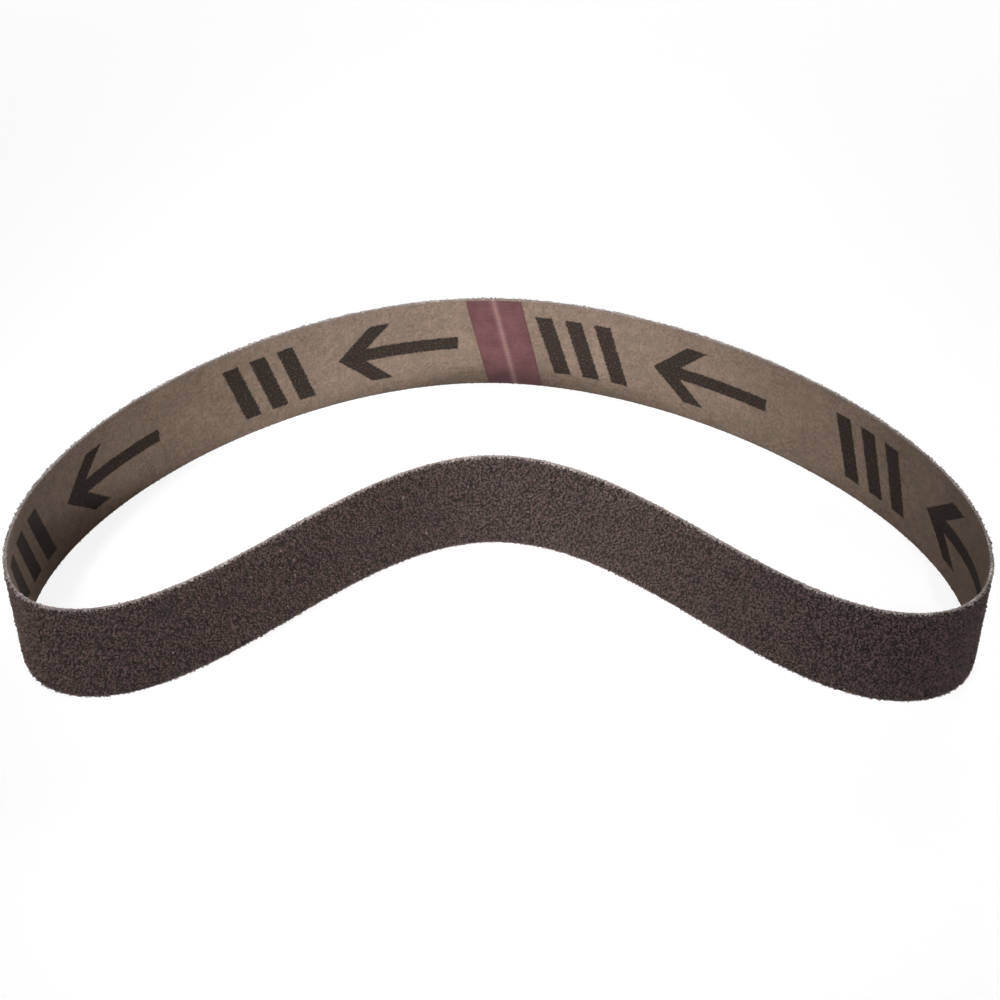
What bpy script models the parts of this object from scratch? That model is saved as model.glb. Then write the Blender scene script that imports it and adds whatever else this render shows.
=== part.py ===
"""A narrow sanding belt standing on its edge, bowed into a kidney-shaped loop.

The belt is a strip of cloth with abrasive on its outer face. Its ends meet at a slanted butt
seam, which a film tape bridges on the inner face. Units are metres, with +Z up.
"""

import math
from collections import namedtuple

import bmesh
import bpy
import numpy as np
from mathutils import Matrix, Vector
from mathutils.geometry import interpolate_bezier

# Driving sizes of the belt
BELT_LENGTH = 0.533
BELT_WIDTH = 0.025
CLOTH_THICKNESS = 0.00048
COAT_THICKNESS = 0.0003

# The coat is bonded to the cloth, and its grains are broken back from the slit edges
BOND_LINE = 0.00002
COAT_EDGE_MARGIN = 0.00015

# The butt seam, near the middle of the rear bow, and the film tape over it
SEAM_SHIFT = -0.005
SEAM_GAP = 0.00015
SPLICE_SLANT = math.radians(12.0)
TAPE_LENGTH = 0.013
TAPE_THICKNESS = 0.00012
TAPE_EDGE_MARGIN = 0.0003
GLUE_LINE = 0.00002

# How the loop stands, seen from above: the points where it runs square to an axis. The reaches are
# how far its Bezier handles go back and on from each point. The inner face follows this line,
# which is then scaled until it is one belt length round.
Bend = namedtuple("Bend", "x y heading reach_back reach_on")
REAR_BOW = Bend(-0.0027, 0.0524, math.radians(180), 0.0465, 0.0468)
LEFT_TIP = Bend(-0.0996, -0.0283, math.radians(270), 0.0367, 0.0110)
LEFT_TOE = Bend(-0.0829, -0.0487, math.radians(0), 0.0122, 0.0270)
FRONT_DIP = Bend(-0.0007, -0.0033, math.radians(0), 0.0308, 0.0320)
RIGHT_TOE = Bend(0.0834, -0.0517, math.radians(0), 0.0284, 0.0123)
RIGHT_TIP = Bend(0.1000, -0.0316, math.radians(90), 0.0108, 0.0374)
BENDS = (REAR_BOW, LEFT_TIP, LEFT_TOE, FRONT_DIP, RIGHT_TOE, RIGHT_TIP)

# Fineness of the model: length of one facet, and points on each Bezier span before they are spaced
FACET = 0.0025
SPAN_POINTS = 240

# How far the helpers that cut the seam and trim the tape reach past what they cut
OVERREACH = 0.004

Finish = namedtuple("Finish", "name colour roughness metallic")
WOVEN_CLOTH = Finish("woven_cloth", (0.16, 0.125, 0.1, 1.0), 0.9, 0.0)
BROWN_GRIT = Finish("brown_grit", (0.06, 0.046, 0.042, 1.0), 0.75, 0.0)
FILM_TAPE = Finish("film_tape", (0.19, 0.095, 0.095, 1.0), 0.4, 0.0)


def clear_scene():
    for obj in list(bpy.data.objects):
        bpy.data.objects.remove(obj, do_unlink=True)


def collect(name, objects):
    """Put the objects in a new collection of this name, and in no other."""
    collection = bpy.data.collections.new(name)
    bpy.context.scene.collection.children.link(collection)
    for obj in objects:
        for owner in list(obj.users_collection):
            owner.objects.unlink(obj)
        collection.objects.link(obj)


def principled(finish):
    material = bpy.data.materials.new(finish.name)
    material.use_nodes = True
    material.diffuse_color = finish.colour
    shader = material.node_tree.nodes["Principled BSDF"]
    shader.inputs["Base Color"].default_value = finish.colour
    shader.inputs["Roughness"].default_value = finish.roughness
    shader.inputs["Metallic"].default_value = finish.metallic
    return material


class BeltLoop:
    """The line of the belt's inner face, from above: evenly spaced points, counterclockwise."""

    def __init__(self):
        dense = self.bezier_points()
        laps = self.lengths_along(dense)
        dense *= BELT_LENGTH / laps[-1]
        self.facets = round(BELT_LENGTH / FACET)
        stations = np.arange(self.facets) * BELT_LENGTH / self.facets
        self.points = self.at(dense, stations)
        outer = self.offset(CLOTH_THICKNESS + BOND_LINE + COAT_THICKNESS)
        self.points -= (outer.min(axis=0) + outer.max(axis=0)) / 2

    @staticmethod
    def bezier_points():
        points = []
        for start, end in zip(BENDS, BENDS[1:] + BENDS[:1]):
            knots = [Vector((bend.x, bend.y)) for bend in (start, end)]
            ways = [Vector((math.cos(bend.heading), math.sin(bend.heading))) for bend in (start, end)]
            leave = knots[0] + ways[0] * start.reach_on
            arrive = knots[1] - ways[1] * end.reach_back
            points += interpolate_bezier(knots[0], leave, arrive, knots[1], SPAN_POINTS)[:-1]
        return np.array([point[:2] for point in points])

    @staticmethod
    def lengths_along(points):
        """Distance round the closed line to each point, and to the first point again."""
        steps = np.linalg.norm(np.roll(points, -1, axis=0) - points, axis=1)
        return np.concatenate([[0.0], np.cumsum(steps)])

    def at(self, points, stations):
        """Points of the closed line at these distances round it."""
        laps = self.lengths_along(points)
        closed = np.vstack([points, points[:1]])
        wrapped = np.mod(stations, laps[-1])
        return np.stack([np.interp(wrapped, laps, closed[:, axis]) for axis in (0, 1)], axis=1)

    def outward(self):
        along = np.roll(self.points, -1, axis=0) - np.roll(self.points, 1, axis=0)
        along /= np.linalg.norm(along, axis=1)[:, None]
        return np.stack([along[:, 1], -along[:, 0]], axis=1)

    def offset(self, distance):
        """The loop's points, moved outwards from the inner face by this distance."""
        return self.points + self.outward() * distance

    def seam_frame(self):
        """Matrix at the seam, halfway up the belt: X along the belt, Y into the loop and Z up."""
        place, ahead, behind = self.at(self.points, SEAM_SHIFT + np.array([0.0, FACET, -FACET]))
        way = Vector((*(ahead - behind), 0.0)).normalized()
        up = Vector((0.0, 0.0, 1.0))
        turn = Matrix((way, up.cross(way), up)).transposed().to_4x4()
        return Matrix.Translation((*place, BELT_WIDTH / 2)) @ turn

    def near_seam(self, distance, reach):
        """Points of the offset loop that lie within this reach of the seam, in order."""
        outline = self.offset(distance)
        steps = math.ceil(reach / BELT_LENGTH * self.facets)
        middle = round(SEAM_SHIFT / BELT_LENGTH * self.facets)
        return outline[np.arange(middle - steps, middle + steps + 1) % self.facets]


def ribbon(name, outline, closed, edge_margin, thickness):
    """A strip standing on the outline, this far in from both edges of the belt.

    Its thickness grows out of the loop from the outline, or into the loop where it is negative.
    """
    shape = bmesh.new()
    feet = [shape.verts.new((x, y, edge_margin)) for x, y in outline]
    pairs = list(zip(feet, feet[1:] + feet[:1]))
    edges = [shape.edges.new(pair) for pair in (pairs if closed else pairs[:-1])]
    raised = bmesh.ops.extrude_edge_only(shape, edges=edges)["geom"]
    heads = [item for item in raised if isinstance(item, bmesh.types.BMVert)]
    bmesh.ops.translate(shape, verts=heads, vec=(0.0, 0.0, BELT_WIDTH - 2 * edge_margin))
    shape.normal_update()
    outward = (feet[1].co - feet[0].co).cross(Vector((0.0, 0.0, 1.0)))
    if edges[0].link_faces[0].normal.dot(outward) < 0:
        bmesh.ops.reverse_faces(shape, faces=shape.faces[:])
    mesh = bpy.data.meshes.new(name)
    shape.to_mesh(mesh)
    shape.free()
    mesh.shade_smooth()

    obj = bpy.data.objects.new(name, mesh)
    solidify = obj.modifiers.new("Thickness", "SOLIDIFY")
    solidify.thickness = abs(thickness)
    solidify.offset = math.copysign(1.0, thickness)
    solidify.use_even_offset = True
    return obj


def slanted_block(name, length, frame):
    """A box across the belt at the seam, this long along the belt and leaning with the splice."""
    bpy.ops.mesh.primitive_cube_add(size=1.0)
    block = bpy.context.active_object
    block.name = name
    across = 2 * (CLOTH_THICKNESS + COAT_THICKNESS + OVERREACH)
    tall = (BELT_WIDTH + OVERREACH) / math.cos(SPLICE_SLANT)
    block.data.transform(Matrix.Diagonal((length * math.cos(SPLICE_SLANT), across, tall, 1.0)))
    block.matrix_world = frame @ Matrix.Rotation(SPLICE_SLANT, 4, "Y")
    block.hide_render = True
    block.display_type = "WIRE"
    return block


def boolean(obj, cutter, operation):
    modifier = obj.modifiers.new(cutter.name, "BOOLEAN")
    modifier.object = cutter
    modifier.operation = operation
    modifier.solver = "EXACT"


def cloth_backing(loop, seam):
    obj = ribbon("cloth_backing", loop.offset(0.0), True, 0.0, CLOTH_THICKNESS)
    obj.data.materials.append(principled(WOVEN_CLOTH))
    boolean(obj, seam, "DIFFERENCE")
    return obj


def abrasive_coat(loop, seam):
    outline = loop.offset(CLOTH_THICKNESS + BOND_LINE)
    obj = ribbon("abrasive_coat", outline, True, COAT_EDGE_MARGIN, COAT_THICKNESS)
    obj.data.materials.append(principled(BROWN_GRIT))
    boolean(obj, seam, "DIFFERENCE")
    return obj


def splice_tape(loop, trim):
    """The tape starts as a longer strip, which the trimming block cuts to its slanted ends."""
    lean = BELT_WIDTH * math.tan(SPLICE_SLANT)
    outline = loop.near_seam(-GLUE_LINE, (TAPE_LENGTH + lean) / 2 + FACET)
    obj = ribbon("splice_tape", outline, False, TAPE_EDGE_MARGIN, -TAPE_THICKNESS)
    obj.data.materials.append(principled(FILM_TAPE))
    boolean(obj, trim, "INTERSECT")
    return obj


def main():
    clear_scene()
    loop = BeltLoop()
    frame = loop.seam_frame()
    seam = slanted_block("seam_cut", SEAM_GAP, frame)
    trim = slanted_block("tape_trim", TAPE_LENGTH, frame)
    collect("helpers", [seam, trim])

    holder = bpy.data.objects.new("sanding_belt_frame", None)
    pieces = [cloth_backing(loop, seam), abrasive_coat(loop, seam), splice_tape(loop, trim)]
    for piece in pieces:
        piece.parent = holder
    collect("sanding_belt", [holder] + pieces)


main()
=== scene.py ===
"""The looks of a narrow sanding belt that stands on its slit edge in a relaxed, kidney-shaped loop.

The frame gives the belt's solids. Every surface that shows is made here round the same line: a
woven cloth strip with cut yarn ends and loose fibres along both slit edges, a resin bed that
carries broken abrasive grains, and a film tape over the slanted butt seam. Units are metres, with
+Z up. A belt place is (along, out, up): the distance round the inner face, anticlockwise from the
middle of the rear bow, the distance outwards from that face, and the height over the floor.
"""

import logging
import math
from dataclasses import dataclass, field
from enum import Enum
from typing import NamedTuple, Sequence

import bmesh
import bpy
import numpy as np
from mathutils import Matrix, Vector
from mathutils.geometry import interpolate_bezier


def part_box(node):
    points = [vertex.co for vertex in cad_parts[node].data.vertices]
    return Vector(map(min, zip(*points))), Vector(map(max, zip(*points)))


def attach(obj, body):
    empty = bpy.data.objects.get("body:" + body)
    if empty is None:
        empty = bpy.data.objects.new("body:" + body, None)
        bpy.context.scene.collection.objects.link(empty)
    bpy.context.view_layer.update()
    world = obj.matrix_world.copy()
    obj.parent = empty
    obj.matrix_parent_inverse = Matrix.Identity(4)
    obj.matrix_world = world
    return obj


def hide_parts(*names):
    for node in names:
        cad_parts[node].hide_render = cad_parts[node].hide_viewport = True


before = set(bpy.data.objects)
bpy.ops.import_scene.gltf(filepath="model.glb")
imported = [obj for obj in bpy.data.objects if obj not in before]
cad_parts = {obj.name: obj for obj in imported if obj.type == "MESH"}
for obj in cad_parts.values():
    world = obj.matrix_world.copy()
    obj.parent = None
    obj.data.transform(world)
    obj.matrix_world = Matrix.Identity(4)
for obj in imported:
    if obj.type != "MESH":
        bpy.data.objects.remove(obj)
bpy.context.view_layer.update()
LOG = logging.getLogger("sanding_belt")
MM = 0.001
BODY = "root"
PLACE = "belt_place"
TONE = "piece_tone"
BAKE_MAP = "OFBake"
WHITE = (1.0, 1.0, 1.0, 1.0)
BLACK = (0.0, 0.0, 0.0, 1.0)

# The cloth's weave, in millimetres, which also shows through the tape
TWILL = {"Warp Pitch": 0.36, "Weft Pitch": 0.53, "Fray": 0.25}

# Share of the bake map that the wall of a swept strip fills, each way
WALL_FILL = 0.98

Value = float | Sequence[float] | bpy.types.NodeSocket


class SlitEdge(Enum):
    """The two edges at which the belt was slit from the roll. The value is the way out of the cloth."""

    UPPER = 1.0
    LOWER = -1.0


@dataclass(frozen=True)
class Bend:
    """A point where the belt's line runs square to an axis, and its Bezier handles.

    Attributes:
        x: Place of the point, to the right.
        y: Place of the point, to the back.
        heading: Way in which the line runs there, in degrees from +X.
        reach_back: Length of the handle before the point.
        reach_on: Length of the handle after it.
    """

    x: float
    y: float
    heading: float
    reach_back: float
    reach_on: float

    def handle(self, reach: float) -> Vector:
        """The end of a handle of this signed length."""
        turn = math.radians(self.heading)
        return Vector((self.x + math.cos(turn) * reach, self.y + math.sin(turn) * reach))


REAR_BOW = Bend(-0.0027, 0.0524, 180, 0.0465, 0.0468)
LEFT_TIP = Bend(-0.0996, -0.0283, 270, 0.0367, 0.0110)
LEFT_TOE = Bend(-0.0829, -0.0487, 0, 0.0122, 0.0270)
FRONT_DIP = Bend(-0.0007, -0.0033, 0, 0.0308, 0.0320)
RIGHT_TOE = Bend(0.0834, -0.0517, 0, 0.0284, 0.0123)
RIGHT_TIP = Bend(0.1000, -0.0316, 90, 0.0108, 0.0374)


@dataclass
class Belt:
    """The belt's line and build-up, which every piece is made round.

    Attributes:
        length: Distance once round the inner face.
        cloth: Thickness of the cloth backing.
        bond: Thickness of the bond line between cloth and coat.
        coat: Mean thickness of the abrasive coat.
        seam_shift: Place of the seam at half the belt's width.
        seam_gap: Width of the slit between the two ends.
        seam_slant: Lean of the seam from square, in degrees.
        span_points: Points computed between two bends.
        bends: The line's bends, anticlockwise.
    """

    length: float = 0.533
    cloth: float = 0.00048
    bond: float = 0.00002
    coat: float = 0.0003
    seam_shift: float = -0.005
    seam_gap: float = 0.00015
    seam_slant: float = 12.0
    span_points: int = 400
    bends: tuple[Bend, ...] = (REAR_BOW, LEFT_TIP, LEFT_TOE, FRONT_DIP, RIGHT_TOE, RIGHT_TIP)
    width: float = field(init=False)

    def __post_init__(self) -> None:
        """Works out the line, and centres it on the frame's solids."""
        self.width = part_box("cloth_backing")[1].z
        dense = self._bezier()
        steps = np.linalg.norm(np.roll(dense, -1, axis=0) - dense, axis=1)
        scale = self.length / steps.sum()
        self._laps = np.concatenate([[0.0], np.cumsum(steps)]) * scale
        tangent = np.roll(dense, -1, axis=0) - np.roll(dense, 1, axis=0)
        tangent /= np.linalg.norm(tangent, axis=1)[:, None]
        normal = np.stack([tangent[:, 1], -tangent[:, 0]], axis=1)
        outer = dense * scale + normal * (self.cloth + self.bond + self.coat)
        low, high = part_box("abrasive_coat")
        middle = np.array([(low.x + high.x) / 2, (low.y + high.y) / 2])
        points = dense * scale - (outer.min(axis=0) + outer.max(axis=0)) / 2 + middle
        self._points = np.vstack([points, points[:1]])
        self._normals = np.vstack([normal, normal[:1]])

    def _bezier(self) -> np.ndarray:
        """Draws the closed line through the bends.

        Returns:
            Its points, as (points, 2).
        """
        points: list[Vector] = []
        for start, end in zip(self.bends, self.bends[1:] + self.bends[:1]):
            leave, arrive = start.handle(start.reach_on), end.handle(-end.reach_back)
            span = interpolate_bezier(start.handle(0), leave, arrive, end.handle(0), self.span_points)
            points += span[:-1]
        return np.array([point[:2] for point in points])

    def place(self, spots: np.ndarray) -> np.ndarray:
        """Carries belt places to the world.

        Args:
            spots: Belt places, as (..., 3).

        Returns:
            World places of the same shape.
        """
        along = np.mod(spots[..., 0], self.length)
        foot, normal = (
            np.stack([np.interp(along, self._laps, table[:, axis]) for axis in (0, 1)], axis=-1)
            for table in (self._points, self._normals)
        )
        normal /= np.linalg.norm(normal, axis=-1, keepdims=True)
        plan = foot + normal * spots[..., 1:2]
        return np.concatenate([plan, spots[..., 2:3]], axis=-1)

    def seam(self, up: np.ndarray | float) -> np.ndarray | float:
        """Where the seam's middle lies along the belt, at this height."""
        return self.seam_shift + math.tan(math.radians(self.seam_slant)) * (up - self.width / 2)

    def from_seam(self, along: np.ndarray, up: np.ndarray) -> np.ndarray:
        """Signed distance along the belt from the seam to these places, the short way round."""
        return np.mod(along - self.seam(up) + self.length / 2, self.length) - self.length / 2


class MeshParts(NamedTuple):
    """What a mesh is made of.

    Attributes:
        spots: Belt places of the vertices, as (vertices, 3).
        faces: Vertex numbers of the faces, one list for each.
        layout: Places of the face corners in the bake map, as (corners, 2).
        tone: A number from 0 to 1 for each vertex, which shades its material.
    """

    spots: np.ndarray
    faces: list
    layout: np.ndarray
    tone: np.ndarray


def add_object(name: str, data: bpy.types.ID) -> bpy.types.Object:
    """Adds an object to the scene.

    Args:
        name: Name of the object.
        data: Its mesh, lamp or camera.

    Returns:
        The new object.
    """
    made = bpy.data.objects.new(name, data)
    bpy.context.scene.collection.objects.link(made)
    return made


def build_piece(name: str, belt: Belt, parts: MeshParts, material: bpy.types.Material,
                smooth: bool = True) -> bpy.types.Object:
    """Makes a piece of the belt from its parts, and lets it ride on the belt's body.

    Args:
        name: Name of the piece.
        belt: The belt that it is part of.
        parts: Its vertices, faces and the values that go with them.
        material: Its finish.
        smooth: Whether its faces are shaded smooth.

    Returns:
        The new object.
    """
    mesh = bpy.data.meshes.new(name)
    mesh.from_pydata(belt.place(parts.spots).tolist(), [], parts.faces)
    layer = mesh.uv_layers.new(name=BAKE_MAP)
    layer.uv.foreach_set("vector", parts.layout.astype(np.float32).ravel())
    place = mesh.attributes.new(PLACE, "FLOAT_VECTOR", "POINT")
    place.data.foreach_set("vector", (parts.spots / MM).astype(np.float32).ravel())
    tone = mesh.attributes.new(TONE, "FLOAT", "POINT")
    tone.data.foreach_set("value", parts.tone.astype(np.float32).ravel())
    mesh.materials.append(material)
    if smooth:
        mesh.shade_smooth()
    mesh.update()
    piece = add_object(name, mesh)
    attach(piece, BODY)
    return piece


def smooth_noise(rng: np.random.Generator, count: int, waves: float) -> np.ndarray:
    """Smooth noise round a closed line, from about -1 to 1.

    Args:
        rng: Source of the draws.
        count: Samples round the line.
        waves: Bumps round the line.

    Returns:
        The samples, as (count,).
    """
    spread, fewest = 0.5, 4
    knots = rng.normal(0.0, spread, max(int(waves), fewest))
    at = np.arange(count) / count * len(knots)
    low = np.floor(at).astype(int) % len(knots)
    part = (1 - np.cos(np.pi * (at % 1))) / 2
    return knots[low] * (1 - part) + knots[(low + 1) % len(knots)] * part


def neighbour_noise(rng: np.random.Generator, shape: tuple[int, int]) -> np.ndarray:
    """Noise of spread 1 that differs from neighbour to neighbour more than from patch to patch.

    Args:
        rng: Source of the draws.
        shape: Columns and rows of the grid.

    Returns:
        The samples, in the grid's shape.
    """
    levelling = 0.85
    noise = rng.normal(0.0, 1.0, shape)
    around = sum(np.roll(noise, step, axis) for axis in (0, 1) for step in (-1, 1)) / 4
    rest = noise - levelling * around
    return rest / rest.std()


@dataclass(frozen=True)
class Sweep:
    """A strip with a closed section, swept along the belt between two slanted ends.

    Attributes:
        start: Distance from the seam to the first section, at half the belt's width.
        end: Distance from the seam to the last section.
        columns: Sections along the strip.
        fold: Rows that the strip is folded into on its bake map.
    """

    start: float
    end: float
    columns: int
    fold: int

    def parts(self, belt: Belt, section: np.ndarray, relief: np.ndarray | None = None,
              tone: np.ndarray | None = None) -> MeshParts:
        """Builds the strip.

        Args:
            belt: The belt that it follows.
            section: The closed section as (corners, 2) of (out, up), clockwise seen along the belt.
            relief: What is added to (along, out, up), as (columns, corners, 3).
            tone: Its tone, as (columns, corners).

        Returns:
            The strip's parts.
        """
        corners = len(section)
        run = np.linspace(self.start, self.end, self.columns)
        spots = np.empty((self.columns, corners, 3))
        spots[..., 0] = run[:, None] + belt.seam(section[:, 1])[None, :]
        spots[..., 1:] = section[None]
        if relief is not None:
            spots += relief
        numbers = np.arange(self.columns * corners).reshape(self.columns, corners)
        ahead = np.roll(numbers, -1, axis=1)
        quads = np.stack([numbers[:-1], ahead[:-1], ahead[1:], numbers[1:]], axis=-1)
        faces = quads.reshape(-1, 4).tolist()
        faces.append(numbers[0, ::-1].tolist())
        faces.append(numbers[-1].tolist())
        layout = np.concatenate([self._wall_layout(section), self._end_layout(section)])
        shade = np.full((self.columns, corners), 0.5) if tone is None else tone
        return MeshParts(spots.reshape(-1, 3), faces, layout, shade.reshape(-1))

    def _wall_layout(self, section: np.ndarray) -> np.ndarray:
        """Lays out the wall's quads on the bake map, clear of a thin band at its right.

        Args:
            section: The closed section, as (corners, 2).

        Returns:
            Places of the quads' corners in order, as (corners, 2).
        """
        walk = np.linalg.norm(np.roll(section, -1, axis=0) - section, axis=1)
        around = np.concatenate([[0.0], np.cumsum(walk)]) / walk.sum()
        steps = self.columns - 1
        row = np.arange(steps) * self.fold // steps
        left = np.arange(steps) * self.fold / steps - row
        right = left + self.fold / steps
        sides = np.stack([left, left, right, right], axis=-1)[:, None, :]
        rungs = np.stack([around[:-1], around[1:], around[1:], around[:-1]], axis=-1)[None]
        u = np.broadcast_to(sides, (steps, len(section), 4))
        v = np.broadcast_to((row[:, None, None] + rungs * WALL_FILL) / self.fold, u.shape)
        return np.stack([u, v], axis=-1).reshape(-1, 2) * (WALL_FILL, 1.0)

    @staticmethod
    def _end_layout(section: np.ndarray) -> np.ndarray:
        """Lays out the two end faces on the bake map, in the band at its right that the wall leaves free.

        Args:
            section: The closed section, as (corners, 2).

        Returns:
            Places of the faces' corners in order, as (corners, 2).
        """
        left, first_bottom, last_bottom = 0.983, 0.05, 0.55
        width, height = 0.015, 0.4
        low, span = section.min(axis=0), np.ptp(section, axis=0)
        unit = (section - low) / span * (width, height)
        return np.concatenate([unit[::-1] + (left, first_bottom), unit + (left, last_bottom)])


class Template(NamedTuple):
    """A small shape that is scattered many times.

    Attributes:
        corners: Its vertices, as (vertices, 3), in belt directions.
        faces: Its faces, as (faces, corners of one).
        layout: Places of the face corners in one cell of the bake map, as (faces, corners, 2).
    """

    corners: np.ndarray
    faces: np.ndarray
    layout: np.ndarray


def turn_matrices(angles: np.ndarray) -> np.ndarray:
    """Works out turns about the three belt directions, one after the other.

    Args:
        angles: The three angles of each turn in radians, as (count, 3).

    Returns:
        Rotation matrices, as (count, 3, 3).
    """
    result = np.broadcast_to(np.eye(3), (len(angles), 3, 3)).copy()
    for axis in range(3):
        cosine, sine = np.cos(angles[:, axis]), np.sin(angles[:, axis])
        turn = np.broadcast_to(np.eye(3), result.shape).copy()
        first, second = (axis + 1) % 3, (axis + 2) % 3
        turn[:, first, first] = cosine
        turn[:, second, second] = cosine
        turn[:, first, second] = -sine
        turn[:, second, first] = sine
        result = turn @ result
    return result


def scatter(templates: Sequence[Template], picks: np.ndarray, centres: np.ndarray, sizes: np.ndarray,
            turns: np.ndarray, tones: np.ndarray) -> MeshParts:
    """Copies templates to many belt places.

    Args:
        templates: Shapes with the same number of vertices and faces.
        picks: The template that each copy takes.
        centres: Belt places of the copies, as (copies, 3).
        sizes: Sizes of the copies in belt directions, as (copies, 3).
        turns: Rotation matrices, as (copies, 3, 3).
        tones: One tone for each copy.

    Returns:
        All the copies as one mesh's parts.
    """
    corners = np.stack([template.corners for template in templates])[picks]
    corners = np.einsum("nij,nkj->nki", turns, corners * sizes[:, None]) + centres[:, None]
    count, vertices = corners.shape[:2]
    faces = np.stack([template.faces for template in templates])[picks]
    faces = faces + (np.arange(count) * vertices)[:, None, None]
    layout = np.stack([template.layout for template in templates])[picks]
    columns = math.ceil(math.sqrt(count / 2))
    rows = math.ceil(count / columns)
    margin = 0.04
    cell = np.stack([np.arange(count) % columns, np.arange(count) // columns], axis=-1)
    layout = (cell[:, None, None] + margin + layout * (1 - 2 * margin)) / (columns, rows)
    return MeshParts(corners.reshape(-1, 3), faces.reshape(-1, faces.shape[-1]).tolist(),
                     layout.reshape(-1, 2), np.repeat(tones, vertices))


def joined(parts: Sequence[MeshParts], shares: Sequence[tuple[float, float]]) -> MeshParts:
    """Joins the parts of several meshes, each with its own band of the bake map.

    Args:
        parts: The meshes' parts.
        shares: For each, the bottom and top of its band.

    Returns:
        One mesh's parts.
    """
    start = 0
    faces: list = []
    layouts = []
    for part, (low, high) in zip(parts, shares):
        faces += [[corner + start for corner in face] for face in part.faces]
        layouts.append(part.layout * (1.0, high - low) + (0.0, low))
        start += len(part.spots)
    return MeshParts(np.concatenate([part.spots for part in parts]), faces,
                     np.concatenate(layouts), np.concatenate([part.tone for part in parts]))


class NodeSheet:
    """A node tree that is being written, with short ways to add and join its nodes."""

    def __init__(self, tree: bpy.types.NodeTree) -> None:
        """Starts on an empty or fresh tree."""
        self.tree = tree

    def add(self, kind: str, inputs: dict[str | int, Value] | None = None,
            **settings: object) -> bpy.types.Node:
        """Adds a node.

        Args:
            kind: Blender's name of the node's type.
            inputs: Constants and sockets for its inputs, by name or number.
            settings: Its other settings.

        Returns:
            The node.
        """
        node = self.tree.nodes.new(kind)
        for key, value in settings.items():
            setattr(node, key, value)
        return self.fill(node, inputs or {})

    def maths(self, operation: str, *values: Value) -> bpy.types.NodeSocket:
        """The result of a Math node on these values."""
        return self.add("ShaderNodeMath", dict(enumerate(values)), operation=operation).outputs[0]

    def length(self, vector: Value) -> bpy.types.NodeSocket:
        """The length of this vector."""
        return self.add("ShaderNodeVectorMath", {0: vector}, operation="LENGTH").outputs["Value"]

    def fade(self, value: Value, start: float = 0.0, end: float = 1.0, low: float = 0.0,
             high: float = 1.0) -> bpy.types.NodeSocket:
        """A smooth change from low to high as the value goes from start to end."""
        inputs = {"Value": value, "From Min": start, "From Max": end, "To Min": low, "To Max": high}
        return self.add("ShaderNodeMapRange", inputs, interpolation_type="SMOOTHSTEP").outputs["Result"]

    def blend(self, factor: Value, first: Value, second: Value) -> bpy.types.NodeSocket:
        """Mixes two colours.

        Args:
            factor: Share of the second colour, from 0 to 1.
            first: The first colour.
            second: The second colour.

        Returns:
            The colour between them.
        """
        node = self.add("ShaderNodeMix", data_type="RGBA")
        chosen = {"Factor_Float": factor, "A_Color": first, "B_Color": second}
        for socket in node.inputs:
            if socket.identifier in chosen:
                self.feed(socket, chosen[socket.identifier])
        return next(socket for socket in node.outputs if socket.identifier == "Result_Color")

    def noise(self, place: Value, scale: Value, detail: float = 2.0,
              roughness: float = 0.5) -> bpy.types.NodeSocket:
        """Noise from 0 to 1 at this place, with this many bumps a millimetre."""
        inputs = {"Vector": place, "Scale": scale, "Detail": detail, "Roughness": roughness}
        return self.add("ShaderNodeTexNoise", inputs).outputs["Fac"]

    def feed(self, socket: bpy.types.NodeSocket, value: Value) -> None:
        """Joins an input to another socket, or sets it.

        Args:
            socket: The input.
            value: The socket that it takes its value from, or a constant.
        """
        if isinstance(value, bpy.types.NodeSocket):
            self.tree.links.new(value, socket)
        else:
            socket.default_value = value

    def fill(self, node: bpy.types.Node, inputs: dict[str | int, Value]) -> bpy.types.Node:
        """Feeds several inputs of a node.

        Args:
            node: The node.
            inputs: Constants and sockets for its inputs, by name or number.

        Returns:
            The same node.
        """
        for key, value in inputs.items():
            self.feed(node.inputs[key], value)
        return node

    def group(self, tree: bpy.types.NodeTree, inputs: dict[str | int, Value]) -> bpy.types.Node:
        """Places a node group with its own values."""
        return self.fill(self.add("ShaderNodeGroup", node_tree=tree), inputs)


class GroupWriter:
    """Writes one shader node group with named inputs and outputs."""

    def __init__(self, name: str, inputs: dict[str, str], outputs: Sequence[str]) -> None:
        """Makes the group and its sockets.

        Args:
            name: Name of the group.
            inputs: For each input's name, the kind of its socket: Vector or Float.
            outputs: Names of the outputs, which are all numbers.
        """
        self.tree = bpy.data.node_groups.new(name, "ShaderNodeTree")
        for socket, kind in inputs.items():
            self.tree.interface.new_socket(socket, in_out="INPUT", socket_type=f"NodeSocket{kind}")
        for socket in outputs:
            self.tree.interface.new_socket(socket, in_out="OUTPUT", socket_type="NodeSocketFloat")
        self.sheet = NodeSheet(self.tree)
        self.inputs = self.tree.nodes.new("NodeGroupInput").outputs
        self.end = self.tree.nodes.new("NodeGroupOutput")

    def give(self, output: str, value: bpy.types.NodeSocket) -> None:
        """Joins a value to one of the group's outputs."""
        self.tree.links.new(value, self.end.inputs[output])


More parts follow.
